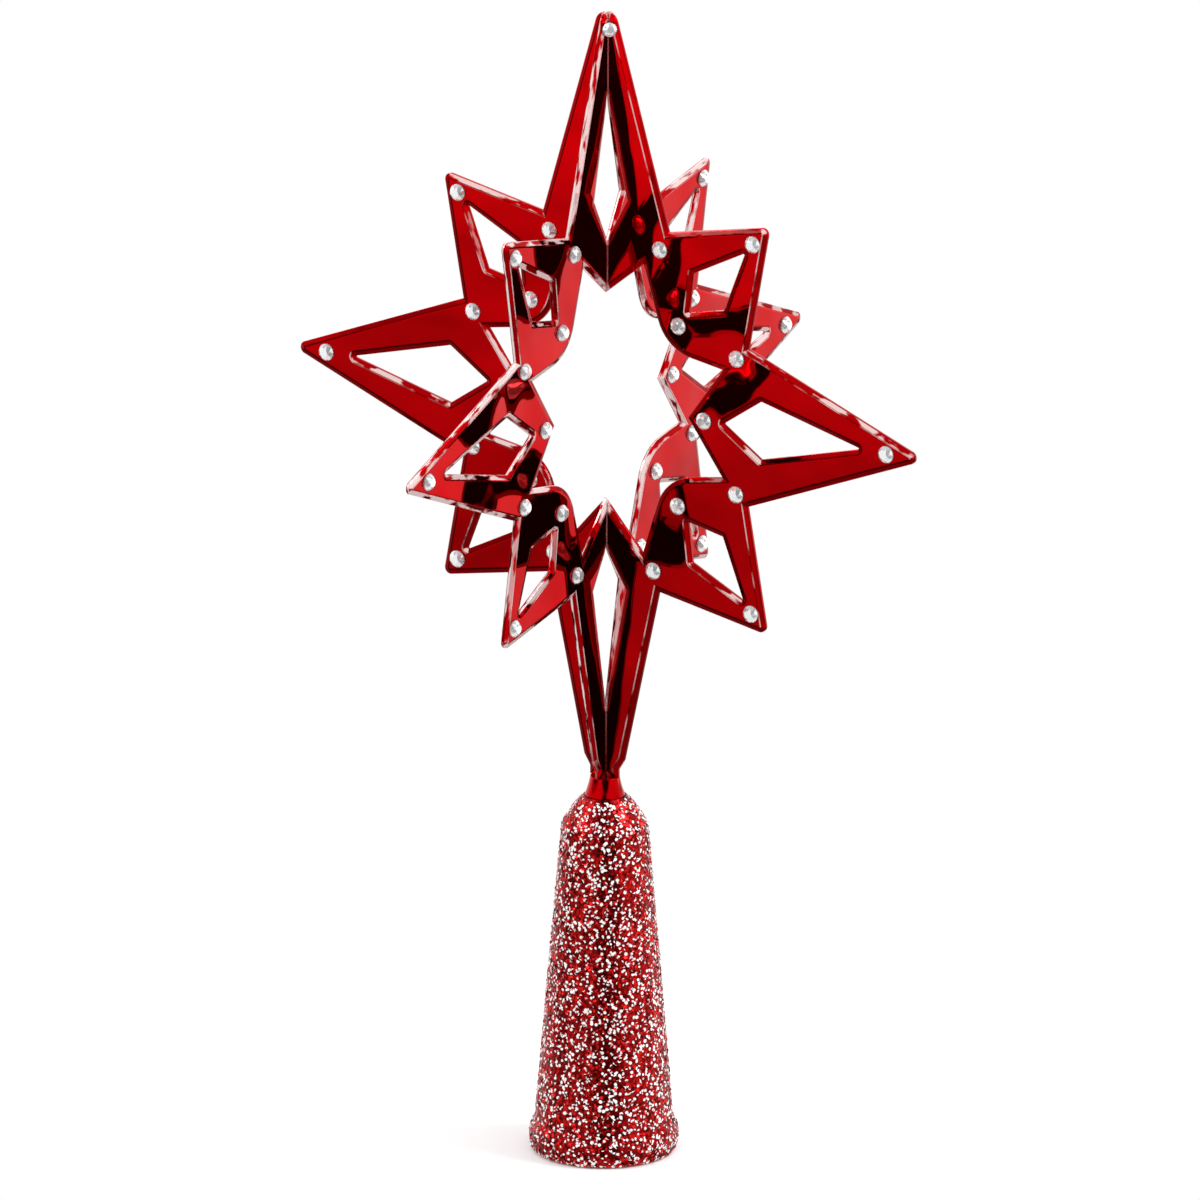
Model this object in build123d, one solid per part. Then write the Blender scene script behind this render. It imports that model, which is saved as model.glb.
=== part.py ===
from build123d import *
import math
import os

# Tree topper star, millimetres, +Z up, origin at the centre of the foot on the ground.
# Two pierced star plates slide into each other at right angles, plate A along X and
# plate B along Y. Their lower ends plug into a small bell collar, and the collar plugs
# into a hollow glitter-covered cone that goes over the top shoot of the tree.

# Star outline, measured from the star's centre as (out from the axis, up).
# Corners are where the straight edges would meet, before the tips are rounded.
top_corner_reach = 126.0
side_corner_reach = 108.3
diagonal_corner_reach = 82.4
diagonal_angle = 47.7
bottom_arm_length = 112.8
top_valley = (21.4, 54.2)
side_valley = (48.6, 23.6)
bottom_valley = (18.6, -54.0)
face_tip_radius = 0.2
top_face_tip_radius = 2.0

# Opening in the middle of each plate
inner_top_point = 33.0
inner_bottom_point = 28.8
inner_point_reach = 28.3
inner_top_valley = (13.0, 43.5)
inner_side_valley = (40.0, 16.1)
nose_corner = (20.5, 19.4)
nose_radius = 14.0

# Kite-shaped cut-outs, sized by the clear opening: the bridge left at the inner end, the
# margin left at the outer end, the half width, and where along its length a kite is widest
side_cut_bridge = 12.0
side_cut_margin = 21.4
side_cut_half_width = 8.7
side_cut_wide_share = 0.275
diagonal_cut_bridge = 14.1
diagonal_cut_margin = 12.0
diagonal_cut_half_width = 7.0
diagonal_cut_wide_share = 0.35
top_cut_bridge = 15.0
top_cut_margin = 32.5
top_cut_half_width = 7.3
top_cut_wide_share = 0.30
bottom_cut_bridge = 14.4
bottom_cut_margin = 19.6
bottom_cut_half_width = 7.3
bottom_cut_wide_share = 0.24
cut_corner_radius = 0.3

# Plate thickness and its two-step bevel, the same on both faces
plate_thickness = 2.0
outer_bevel_width = 1.3
outer_bevel_depth = 0.47
inner_bevel_width = 0.42
inner_bevel_depth = 0.08

# Lower end of the plates, upwards from the top of the collar
stem_half_width = 4.8
stem_height = 2.6
stem_shoulder_width = 2.0
stem_shoulder_height = 3.2
stem_face_radius = 0.4
tongue_step = 1.7
tongue_length = 13.0

# Fits
lap_clearance = 0.1
socket_clearance = 0.12
spigot_clearance = 0.1

# Stones, each set back from the corner that it decorates
stone_diameter = 5.0
stone_girdle_height = 0.4
stone_crown_height = 1.3
stone_table_diameter = 2.7
stone_sides = 12
tip_stone_diameter = 4.2
tip_stone_table_diameter = 2.2
tip_stone_setback = 13.9
side_stone_setback = 12.7
diagonal_stone_setback = 7.7
top_valley_stone_step = (-2.6, -5.4)
side_valley_stone_step = (-3.6, -3.3)
bottom_valley_stone_step = (-1.6, 6.2)
nose_stone_step = (4.7, 7.6)
inner_point_stone_step = 5.7

# Bell collar
collar_height = 6.2
collar_top_inset = 0.5
collar_waist_step = 0.75
collar_flare = 1.6
collar_lip_height = 0.7
spigot_wall = 1.48
spigot_floor = 3.6

# Hollow cone
cone_height = 107.2
crown_ledge = 0.35
shoulder_radius = 12.0
shoulder_drop = 8.3
shoulder_bulge = 0.3
cone_foot_radius = 19.6
foot_bead_height = 9.6
foot_bead_centre_height = 5.2
foot_bead_bulge = 1.6
foot_bottom_step = 0.6
foot_wall = 1.7
cone_wall = 1.5
mouth_depth = 8.0
hub_wall = 1.5

# Glitter coat
coat_thickness = 0.5
coat_foot_gap = 0.4

# Sizes that follow from the ones above
bevel_width = outer_bevel_width + inner_bevel_width
edge_land = plate_thickness - 2 * (outer_bevel_depth + inner_bevel_depth)
tip_radius = face_tip_radius + bevel_width
top_tip_radius = top_face_tip_radius + bevel_width
top_edge_slope = top_valley[0] / (top_corner_reach - top_valley[1])
top_tip_reach = top_corner_reach - top_tip_radius * (1 / math.sin(math.atan(top_edge_slope)) - 1)
stem_shoulder_radius = stem_face_radius + bevel_width
tongue_half_width = stem_half_width - tongue_step
collar_top_radius = stem_half_width - collar_top_inset
collar_waist_radius = collar_top_radius + collar_waist_step
collar_lip_radius = collar_top_radius + collar_flare
collar_base_height = cone_height
collar_top_height = collar_base_height + collar_height
star_centre_height = collar_top_height + bottom_arm_length
spigot_radius = tongue_half_width + socket_clearance + spigot_wall
spigot_length = tongue_length - collar_height + spigot_floor
cone_crown_radius = collar_lip_radius + crown_ledge
shoulder_height = cone_height - shoulder_drop
mouth_radius = cone_foot_radius - foot_wall


def corner_at(distance, angle):
    """Point at a distance from the star's centre, at an angle above the side arm."""
    return (distance * math.cos(math.radians(angle)), distance * math.sin(math.radians(angle)))


def mirrored_left(points):
    """The points followed by their mirror images across the axis, to close an outline."""
    return points + [(-x, z, radius) for x, z, radius in reversed(points) if x > 0]


def offset_outline(points, distance):
    """Move every edge of a counter-clockwise outline to its left and keep its corners.

    Each point is (x, z, corner radius). Rounded corners stay concentric, and corners
    with no radius stay sharp.
    """
    moved = []
    for index, (x, z, radius) in enumerate(points):
        before = Vector(*points[index - 1][:2])
        after = Vector(*points[(index + 1) % len(points)][:2])
        here = Vector(x, z)
        into = (here - before).normalized()
        out_of = (after - here).normalized()
        left_in = Vector(-into.Y, into.X)
        left_out = Vector(-out_of.Y, out_of.X)
        mitre = (left_in + left_out) / (1 + left_in.dot(left_out))
        turn = into.X * out_of.Y - into.Y * out_of.X
        change = -distance if turn > 0 else distance
        corner = here + mitre * distance
        moved.append((corner.X, corner.Y, radius + change if radius > 0 else 0))
    return moved


def outline_ring(points, height):
    """Closed rounded outline at a height above the plate's middle plane."""
    path = FilletPolyline([(x, z) for x, z, _ in points], radius=[r for _, _, r in points], close=True)
    return Pos(0, 0, height) * path


def skinned(rings):
    """Solid closed by its first and last ring, with walls between the edges of stacked rings."""
    faces = [make_face(ring.edges()).face() for ring in (rings[0], rings[-1])]
    for low, high in zip(rings, rings[1:]):
        for below, above in zip(low.edges(), high.edges()):
            if below.geom_type == GeomType.LINE:
                faces.append(Face(Wire.make_polygon([below @ 0, below @ 1, above @ 1, above @ 0])))
            else:
                faces.append(Face.make_surface_from_curves(below, above))
    return Solid(Shell(faces))


def bevelled_prism(points, side):
    """Solid through the plate's thickness with a two-step bevel at both faces.

    side is 1 for an outline that the bevel makes smaller, and -1 for a hole that it widens.
    """
    levels = [
        (edge_land / 2, 0.0),
        (edge_land / 2 + outer_bevel_depth, side * outer_bevel_width),
        (plate_thickness / 2, side * bevel_width),
    ]
    levels = [(-height, inset) for height, inset in reversed(levels)] + levels
    return skinned([outline_ring(offset_outline(points, inset), height) for height, inset in levels])


def kite_corners(inner_end, bridge, outer_end, margin, wide_share):
    """Where a kite cut-out starts, is widest and ends along its arm."""
    near = inner_end + bridge
    far = outer_end - margin
    return (near, near + wide_share * (far - near), far)


def side_kite():
    """Cut-out in a side arm."""
    return kite_corners(inner_point_reach, side_cut_bridge, side_corner_reach, side_cut_margin, side_cut_wide_share)


def diagonal_kite():
    """Cut-out in a diagonal arm."""
    return kite_corners(
        math.hypot(*nose_corner),
        diagonal_cut_bridge,
        diagonal_corner_reach,
        diagonal_cut_margin,
        diagonal_cut_wide_share,
    )


def top_kite():
    """Cut-out in the top arm."""
    return kite_corners(inner_top_point, top_cut_bridge, top_corner_reach, top_cut_margin, top_cut_wide_share)


def bottom_kite():
    """Cut-out in the bottom arm."""
    return kite_corners(
        inner_bottom_point, bottom_cut_bridge, bottom_arm_length, bottom_cut_margin, bottom_cut_wide_share
    )


def kite_cut(kite, half_width, angle):
    """One kite-shaped cut-out along an arm at an angle, given by the corners of its clear opening."""
    near, wide_at, far = kite
    corners = [(near, 0), (wide_at, -half_width), (far, 0), (wide_at, half_width)]
    return Rot(0, 0, angle) * bevelled_prism([(x, z, cut_corner_radius) for x, z in corners], -1)


def star_outline():
    """Outer outline of a plate, counter-clockwise from the foot of the right tongue."""
    seat = -bottom_arm_length
    stem_top = seat + stem_height
    diagonal = corner_at(diagonal_corner_reach, diagonal_angle)
    right = [
        (tongue_half_width, seat - tongue_length, 0),
        (tongue_half_width, seat, 0),
        (stem_half_width, seat, 0),
        (stem_half_width, stem_top, 0),
        (stem_half_width + stem_shoulder_width, stem_top + stem_shoulder_height, stem_shoulder_radius),
        (bottom_valley[0], bottom_valley[1], 0),
        (diagonal[0], -diagonal[1], tip_radius),
        (side_valley[0], -side_valley[1], 0),
        (side_corner_reach, 0, tip_radius),
        (side_valley[0], side_valley[1], 0),
        (diagonal[0], diagonal[1], tip_radius),
        (top_valley[0], top_valley[1], 0),
        (0, top_corner_reach, top_tip_radius),
    ]
    return mirrored_left(right)


def centre_outline():
    """Opening in the middle of a plate, counter-clockwise from its lowest point."""
    upper = [
        (inner_point_reach, 0, 0),
        (inner_side_valley[0], inner_side_valley[1], 0),
        (nose_corner[0], nose_corner[1], nose_radius),
        (inner_top_valley[0], inner_top_valley[1], 0),
    ]
    lower = [(x, -z, radius) for x, z, radius in reversed(upper) if z > 0]
    right = [(0, -inner_bottom_point, 0)] + lower + upper + [(0, inner_top_point, 0)]
    return mirrored_left(right)


def pierced_plate():
    """One star plate lying flat, centred on the star's middle, before its slots are cut."""
    plate = bevelled_prism(star_outline(), 1)
    plate -= bevelled_prism(centre_outline(), -1)
    for angle in (0, 180):
        plate -= kite_cut(side_kite(), side_cut_half_width, angle)
    for angle in (diagonal_angle, 180 - diagonal_angle, 180 + diagonal_angle, -diagonal_angle):
        plate -= kite_cut(diagonal_kite(), diagonal_cut_half_width, angle)
    plate -= kite_cut(top_kite(), top_cut_half_width, 90)
    plate -= kite_cut(bottom_kite(), bottom_cut_half_width, -90)
    return plate


def crossings():
    """Stretches of the axis where both plates have material.

    Each is (low, high, clear below, clear above), where the last two lie in the open
    space, or past the end of the plates, that a slot runs out into.
    """
    tongue_end = -bottom_arm_length - tongue_length
    top_near, _, top_far = top_kite()
    bottom_near, _, bottom_far = bottom_kite()
    top_middle = (top_near + top_far) / 2
    bottom_middle = (bottom_near + bottom_far) / 2
    return [
        (top_far, top_tip_reach, top_middle, top_corner_reach),
        (inner_top_point, top_near, 0.0, top_middle),
        (-bottom_near, -inner_bottom_point, -bottom_middle, 0.0),
        (tongue_end, -bottom_far, tongue_end - plate_thickness, -bottom_middle),
    ]


def lap_slots(open_upwards):
    """Half-lap slots on the axis of a plate lying flat, one at each crossing."""
    width = plate_thickness + 2 * lap_clearance
    slots = []
    for low, high, clear_below, clear_above in crossings():
        middle = (low + high) / 2
        start = middle - lap_clearance / 2 if open_upwards else clear_below
        end = clear_above if open_upwards else middle + lap_clearance / 2
        slots.append(Pos(0, (start + end) / 2, 0) * Box(width, end - start, 2 * plate_thickness))
    return slots


def stood_up(shape, turn):
    """A shape drawn lying flat, stood on edge in its plate's place."""
    return Pos(0, 0, star_centre_height) * Rot(0, 0, turn) * Rot(90, 0, 0) * shape


def stone(diameter, table_diameter):
    """Flat-backed faceted stone, its back on the XY plane and its crown towards +Z."""
    rim = RegularPolygon(diameter / 2, stone_sides).wire()
    table = RegularPolygon(table_diameter / 2, stone_sides).wire()
    top = stone_girdle_height + stone_crown_height
    return skinned([rim, Pos(0, 0, stone_girdle_height) * rim, Pos(0, 0, top) * table])


def place_stones(spots, face, turn):
    """A group of separate stones glued on one face of a plate."""
    pattern = stone(stone_diameter, stone_table_diameter)
    flip = Rot(0, 180, 0) if face < 0 else Rot(0, 0, 0)
    placed = []
    for x, z in spots:
        flat = Pos(x, z, face * plate_thickness / 2) * flip * pattern
        placed.append(stood_up(flat, turn))
    return Compound(children=placed)


def stepped(corner, step):
    """A corner of the outline moved by a step."""
    return (corner[0] + step[0], corner[1] + step[1])


def stone_spots(wing):
    """Places of the ten stones on one wing, sorted by where they sit. wing is 1 or -1."""
    across, up = corner_at(diagonal_corner_reach - diagonal_stone_setback, diagonal_angle)
    side_across, side_up = stepped(side_valley, side_valley_stone_step)
    nose_across, nose_up = stepped(nose_corner, nose_stone_step)
    places = {
        "tip": [(across, up), (side_corner_reach - side_stone_setback, 0), (across, -up)],
        "valley": [
            stepped(top_valley, top_valley_stone_step),
            (side_across, side_up),
            (side_across, -side_up),
            stepped(bottom_valley, bottom_valley_stone_step),
        ],
        "inner": [
            (nose_across, nose_up),
            (inner_point_reach + inner_point_stone_step, 0),
            (nose_across, -nose_up),
        ],
    }
    return {name: [(wing * x, z) for x, z in spots] for name, spots in places.items()}


def tip_stones():
    """Two small stones at the top, each resting on the edges of two neighbouring wings."""
    half_width = tip_stone_setback * top_edge_slope
    middle = star_centre_height + top_corner_reach - tip_stone_setback
    seat = (half_width + edge_land / 2) / math.sqrt(2)
    tilt = math.degrees(math.atan(top_edge_slope / math.sqrt(2)))
    upright = Pos(0, -seat, middle) * Rot(90 - tilt, 0, 0)
    placed = upright * stone(tip_stone_diameter, tip_stone_table_diameter)
    return Compound(children=[Rot(0, 0, turn) * placed for turn in (45, 225)])


def bell_collar():
    """Bell-shaped connector: cross socket for the star above, round spigot below."""
    lip = Edge.make_spline(
        [
            (collar_lip_radius, 0, collar_base_height + collar_lip_height),
            (collar_waist_radius, 0, collar_base_height + collar_height / 2),
            (collar_top_radius, 0, collar_top_height),
        ]
    )
    rest = Polyline(
        (collar_top_radius, 0, collar_top_height),
        (0, 0, collar_top_height),
        (0, 0, collar_base_height - spigot_length),
        (spigot_radius, 0, collar_base_height - spigot_length),
        (spigot_radius, 0, collar_base_height),
        (collar_lip_radius, 0, collar_base_height),
        (collar_lip_radius, 0, collar_base_height + collar_lip_height),
    )
    collar = revolve(make_face([lip] + rest.edges()), Axis.Z)
    depth = tongue_length + socket_clearance
    slot = Box(
        2 * (tongue_half_width + socket_clearance),
        plate_thickness + 2 * socket_clearance,
        depth,
        align=(Align.CENTER, Align.CENTER, Align.MAX),
    )
    slot = Pos(0, 0, collar_top_height) * slot
    return collar - slot - Rot(0, 0, 90) * slot


def cone_skin(grow, foot_height):
    """Outer line of the cone from foot to crown, moved outwards, as edges in the XZ plane."""
    foot = (cone_foot_radius + foot_bottom_step + grow, 0, foot_height)
    bead = (cone_foot_radius + foot_bead_bulge + grow, 0, foot_bead_centre_height)
    waist = (cone_foot_radius + grow, 0, foot_bead_height)
    shoulder = (shoulder_radius + grow, 0, shoulder_height)
    crown = (cone_crown_radius, 0, cone_height + grow)
    middle = Vector(
        (shoulder[0] + crown[0]) / 2 + shoulder_bulge,
        0,
        (shoulder[2] + crown[2]) / 2 + shoulder_bulge,
    )
    return [
        ThreePointArc(foot, bead, waist),
        Line(waist, shoulder),
        ThreePointArc(shoulder, middle, crown),
    ]


def hollow_cone():
    """Moulded cone, open below, with a straight mouth and a hub that takes the collar."""
    skin = cone_skin(0, 0)
    bore = spigot_radius + spigot_clearance
    hub = bore + hub_wall
    hub_foot = collar_base_height - spigot_length - hub_wall
    under_crown = cone_height - 2 * cone_wall
    inside_top = shoulder_radius - cone_wall
    rest = Polyline(
        (cone_crown_radius, 0, cone_height),
        (bore, 0, cone_height),
        (bore, 0, hub_foot),
        (hub, 0, hub_foot),
        (hub, 0, under_crown),
        (inside_top, 0, shoulder_height - cone_wall),
        (mouth_radius, 0, mouth_depth),
        (mouth_radius, 0, 0),
        (cone_foot_radius + foot_bottom_step, 0, 0),
    )
    return revolve(make_face(skin + rest.edges()), Axis.Z)


def glitter_coat():
    """Thin layer of bonded glitter over the outside of the cone."""
    inner = cone_skin(0, 0)
    outer = cone_skin(coat_thickness, coat_foot_gap)
    inner_foot = inner[0] @ 0
    outer_foot = outer[0] @ 0
    closing = [Line(inner_foot, outer_foot), Line(outer[2] @ 1, inner[2] @ 1)]
    return revolve(make_face(inner + outer + closing), Axis.Z)


flat_plate = pierced_plate()
parts = {
    "star_plate_a": stood_up(flat_plate - lap_slots(True), 0),
    "star_plate_b": stood_up(flat_plate - lap_slots(False), 90),
    "bell_collar": bell_collar(),
    "cone_base": hollow_cone(),
    "glitter_coat": glitter_coat(),
    "stones_top": tip_stones(),
}
for plate, turn in (("a", 0), ("b", 90)):
    for side, wing in (("right", 1), ("left", -1)):
        for facing, face in (("front", 1), ("back", -1)):
            for group, spots in stone_spots(wing).items():
                name = f"stones_{group}_{plate}_{side}_{facing}"
                parts[name] = place_stones(spots, face, turn)

os.makedirs("parts", exist_ok=True)
for name, shape in parts.items():
    export_step(shape, f"parts/{name}.step")
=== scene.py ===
"""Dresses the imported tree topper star: red metallised plates, cut stones, a glittered cone and a studio."""

import logging
import math
from dataclasses import dataclass
from enum import Enum
from typing import Any, Iterable

import bpy
import numpy as np
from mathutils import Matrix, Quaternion, Vector

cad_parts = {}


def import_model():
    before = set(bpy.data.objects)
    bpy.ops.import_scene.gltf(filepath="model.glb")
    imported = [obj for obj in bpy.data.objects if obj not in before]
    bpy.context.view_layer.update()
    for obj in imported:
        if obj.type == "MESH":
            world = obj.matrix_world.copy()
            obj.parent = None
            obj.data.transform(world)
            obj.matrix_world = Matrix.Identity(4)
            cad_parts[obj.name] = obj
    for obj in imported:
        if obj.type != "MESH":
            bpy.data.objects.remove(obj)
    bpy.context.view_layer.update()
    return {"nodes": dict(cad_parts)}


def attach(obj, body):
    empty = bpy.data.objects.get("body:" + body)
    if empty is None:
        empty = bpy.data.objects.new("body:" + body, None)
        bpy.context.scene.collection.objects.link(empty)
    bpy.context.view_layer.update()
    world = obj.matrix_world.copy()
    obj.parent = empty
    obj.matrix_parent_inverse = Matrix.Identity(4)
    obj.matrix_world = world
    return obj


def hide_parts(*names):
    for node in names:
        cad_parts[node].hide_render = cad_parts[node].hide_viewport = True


LOG = logging.getLogger("tree_topper_star")
MM = 0.001
FULL_TURN = 2.0 * math.pi
HALF_TURN_DEGREES = 180.0
# Share of a half turn from one flake to the next that never lines the flakes up.
GOLDEN_SHARE = 3.0 - math.sqrt(5.0)
WHITE = "#FFFFFF"

Colour = tuple[float, float, float, float]
Direction = tuple[float, float, float]
Span = tuple[float, float]
Nodes = dict[str, bpy.types.Object]
Tree = bpy.types.NodeTree
Socket = bpy.types.NodeSocket


class Slot(Enum):
    """Material slots of the record for the stones and the glitter."""

    STONE = "clear_stone"
    GLITTER = "glitter"


class Facing(Enum):
    """Axis that a star plate's flat faces look along."""

    ALONG_X = "X"
    ALONG_Y = "Y"


def linear(code: str) -> Colour:
    """Turns an sRGB hex code into a linear colour, by the sRGB standard's own numbers.

    Args:
        code: six hex digits after a hash sign.

    Returns:
        Linear red, green, blue and an alpha of one.
    """
    parts = []
    for start in (1, 3, 5):
        value = int(code[start:start + 2], 16) / 255.0
        parts.append(value / 12.92 if value <= 0.04045 else ((value + 0.055) / 1.055) ** 2.4)
    return (parts[0], parts[1], parts[2], 1.0)


def towards(azimuth: float, elevation: float) -> Vector:
    """Gives a direction out from the object.

    Args:
        azimuth: turn from the front, in degrees.
        elevation: rise above the floor, in degrees.

    Returns:
        The unit direction.
    """
    turn = math.radians(azimuth)
    rise = math.radians(elevation)
    flat = math.cos(rise)
    return Vector((math.sin(turn) * flat, -math.cos(turn) * flat, math.sin(rise)))


def add_node(tree: Tree, kind: str, inputs: dict[Any, Any] | None = None,
             **settings: Any) -> bpy.types.Node:
    """Adds one shader node.

    Args:
        tree: node tree that gets the node.
        kind: Blender's name for the node type.
        inputs: value or output socket for each input, by name or number.
        settings: the node's own properties.

    Returns:
        The new node.
    """
    node = tree.nodes.new(kind)
    for name, value in settings.items():
        setattr(node, name, value)
    for name, value in (inputs or {}).items():
        if isinstance(value, bpy.types.NodeSocket):
            tree.links.new(value, node.inputs[name])
        else:
            node.inputs[name].default_value = value
    return node


def joined(tree: Tree, operation: str, *sockets: Socket) -> Socket:
    """Joins several sockets by one sum.

    Args:
        tree: node tree that gets the sums.
        operation: Blender's name for the sum of two values.
        sockets: the values, taken in order.

    Returns:
        Socket with the result.
    """
    result = sockets[0]
    for socket in sockets[1:]:
        result = add_node(tree, "ShaderNodeMath", {0: result, 1: socket}, operation=operation).outputs[0]
    return result


def new_material(name: str) -> tuple[bpy.types.Material, Tree, bpy.types.Node]:
    """Makes an empty node material.

    Args:
        name: the material's name.

    Returns:
        The material, its node tree and its output node.
    """
    material = bpy.data.materials.new(name)
    material.use_nodes = True
    tree = material.node_tree
    tree.nodes.clear()
    return material, tree, add_node(tree, "ShaderNodeOutputMaterial")


def cover(obj: bpy.types.Object, material: bpy.types.Material) -> None:
    """Gives an object its material in place of any it has, and reports the piece.

    Args:
        obj: the mesh object.
        material: the material.
    """
    obj.data.materials.clear()
    obj.data.materials.append(material)
    LOG.info("covered %s with %s", obj.name, material.name)


def mesh_object(name: str, points: Iterable[Any], faces: Iterable[Any]) -> bpy.types.Object:
    """Makes a mesh object in the scene.

    Args:
        name: the object's name.
        points: corner places in metres.
        faces: corner numbers of each face.

    Returns:
        The new object.
    """
    mesh = bpy.data.meshes.new(name)
    mesh.from_pydata([tuple(p) for p in points], [], [tuple(f) for f in faces])
    mesh.update()
    obj = bpy.data.objects.new(name, mesh)
    bpy.context.scene.collection.objects.link(obj)
    return obj


@dataclass(frozen=True)
class PlateSurface:
    """Sockets that say where a point of a star plate lies and how the surface faces there.

    flatness is one on the flat faces and falls to zero on the edges, depth is the distance from the plate's
    middle plane, and rear and height are the place along Y and Z.
    """

    place: Socket
    normal: Socket
    flatness: Socket
    depth: Socket
    rear: Socket
    height: Socket

    @classmethod
    def read(cls, tree: Tree, place: Socket, facing: Facing) -> "PlateSurface":
        """Reads the sockets from a plate's shape.

        Args:
            tree: the material's node tree.
            place: socket with the place on the plate.
            facing: axis of the flat faces.

        Returns:
            The sockets.
        """
        normal = add_node(tree, "ShaderNodeNewGeometry").outputs["True Normal"]
        along = add_node(tree, "ShaderNodeSeparateXYZ", {"Vector": normal}).outputs[facing.value]
        flatness = add_node(tree, "ShaderNodeMath", {0: along}, operation="ABSOLUTE").outputs[0]
        spot = add_node(tree, "ShaderNodeSeparateXYZ", {"Vector": place}).outputs
        return cls(place, normal, flatness, spot[facing.value], spot["Y"], spot["Z"])


@dataclass(frozen=True)
class MetallisedPlastic:
    """Injection-moulded plastic, vacuum-metallised and lacquered red: a tinted mirror with moulding waves.

    The moulding's faces are a little wavy, so the borders of what they mirror wander. waves_mm gives the
    length and depth of each set of waves, and on a plate the last set lies on the edges alone.
    The edges are softly rounded. Long pale streaks along them are painted highlights, where the edges would
    mirror bright lamps. Only edges that face one of highlight_sides get them, over the highlight_band_mm band
    of the thickness.
    A painted glint runs, with gaps, along the line between face and bevel on edges that face glint_side,
    over the glint_mm band.
    As painted shade, the red darkens from tip_colour high up to colour towards the stem, over fade_mm.
    At the front below reflection_tint_mm, what the plate mirrors at a flat angle is tinted as painted
    reflection.
    Where the plates cross, a fine pale line out to seam_mm from the axis is a painted highlight on the
    crease.
    Towards the collar the painted highlights fade out, and at the lower end of plain_mm the red is whole.
    """

    colour: str = "#9E0105"
    tip_colour: str = "#D60108"
    fade_mm: Span = (200.0, 345.0)
    roughness: float = 0.03
    waves_mm: tuple[Span, ...] = ((60.0, 3.4), (17.0, 0.45), (6.0, 0.10))
    wave_detail: float = 1.0
    edge_radius_mm: float = 0.45
    edge_samples: int = 6
    edge_from: Span = (0.995, 0.96)
    # Painted highlight: pale colour, with less metal, for the edge streaks, glint and seam line.
    highlight_colour: str = "#F4DAD6"
    highlight_metallic: float = 0.15
    highlight_band_mm: Span = (0.48, 1.05)
    highlight_sides: tuple[Direction, ...] = ((0.5, 0.0, 0.87),)
    highlight_range: Span = (0.25, 0.30)
    streak_mm: float = 8.0
    streak_width_mm: float = 0.9
    streak_detail: float = 2.0
    streak_range: Span = (0.47, 0.53)
    streak_from: Span = (0.985, 0.93)
    glint_side: Direction = (0.96, 0.0, 0.29)
    glint_range: Span = (0.08, 0.12)
    glint_mm: Span = (0.93, 1.0)
    glint_gaps: Span = (0.40, 0.54)
    glint_share: float = 0.7
    seam_mm: Span = (1.65, 1.55)
    seam_share: float = 0.45
    plain_mm: Span = (112.0, 130.0)
    reflection_tint: str | None = None
    reflection_tint_mm: Span = (222.0, 244.0)

    def material(self, name: str, facing: Facing | None) -> bpy.types.Material:
        """Builds the finish.

        Args:
            name: the material's name.
            facing: axis of the flat faces, or None for a turned piece.

        Returns:
            The material.
        """
        material, tree, output = new_material(name)
        place = add_node(tree, "ShaderNodeTexCoord").outputs["Object"]
        relief = self.relief(tree, place)
        shader = add_node(tree, "ShaderNodeBsdfPrincipled", {
            "Base Color": linear(self.colour),
            "Metallic": 1.0,
            "Roughness": self.roughness,
            "Normal": relief.outputs["Normal"],
        })
        if facing is not None:
            surface = PlateSurface.read(tree, place, facing)
            edge = add_node(tree, "ShaderNodeMapRange", {
                "Value": surface.flatness,
                "From Min": self.edge_from[0],
                "From Max": self.edge_from[1],
            })
            tree.links.new(edge.outputs["Result"], relief.inputs["Strength"])
            self.lacquer_and_painted_light(tree, surface, facing, shader)
        tree.links.new(shader.outputs["BSDF"], output.inputs["Surface"])
        return material

    def relief(self, tree: Tree, place: Socket) -> bpy.types.Node:
        """Rounds the edges and lays the moulding's waves over them, the longest first.

        Args:
            tree: the material's node tree.
            place: socket with the place on the piece.

        Returns:
            The node of the last set of waves, which gives the finished normal.
        """
        radius = self.edge_radius_mm * MM
        last = add_node(tree, "ShaderNodeBevel", {"Radius": radius}, samples=self.edge_samples)
        for length, depth in self.waves_mm:
            wave = add_node(tree, "ShaderNodeTexNoise", {
                "Vector": place,
                "Scale": 1.0 / (length * MM),
                "Detail": self.wave_detail,
            })
            last = add_node(tree, "ShaderNodeBump", {
                "Height": wave.outputs["Fac"],
                "Distance": depth * MM,
                "Normal": last.outputs["Normal"],
            })
        return last

    def lacquer_and_painted_light(self, tree: Tree, surface: PlateSurface, facing: Facing, shader: bpy.types.Node) -> None:
        """Colours a plate: red with painted shade downwards, painted highlights, and the painted reflection
        tint.

        Args:
            tree: the material's node tree.
            surface: sockets of the plate's shape.
            facing: axis of the flat faces.
            shader: the plate's shader.
        """
        shown = self.painted_highlights(tree, surface, facing)
        # Painted shade: the red darkens from the tips down towards the stem.
        fade = add_node(tree, "ShaderNodeMapRange", {
            "Value": surface.height,
            "From Min": self.fade_mm[0] * MM,
            "From Max": self.fade_mm[1] * MM,
        })
        red = add_node(tree, "ShaderNodeMix", {
            "Factor": fade.outputs["Result"],
            "A": linear(self.colour),
            "B": linear(self.tip_colour),
        }, data_type="RGBA")
        tint = add_node(tree, "ShaderNodeMix", {
            "Factor": shown,
            "A": red.outputs["Result"],
            "B": linear(self.highlight_colour),
        }, data_type="RGBA")
        metal = add_node(tree, "ShaderNodeMapRange", {
            "Value": shown,
            "To Min": 1.0,
            "To Max": self.highlight_metallic,
        })
        tree.links.new(tint.outputs["Result"], shader.inputs["Base Color"])
        tree.links.new(metal.outputs["Result"], shader.inputs["Metallic"])
        # Painted reflection: a tint on what the front wing mirrors low down.
        if self.reflection_tint is not None:
            tree.links.new(self.painted_reflection_tint(tree, surface), shader.inputs["Specular Tint"])

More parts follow.
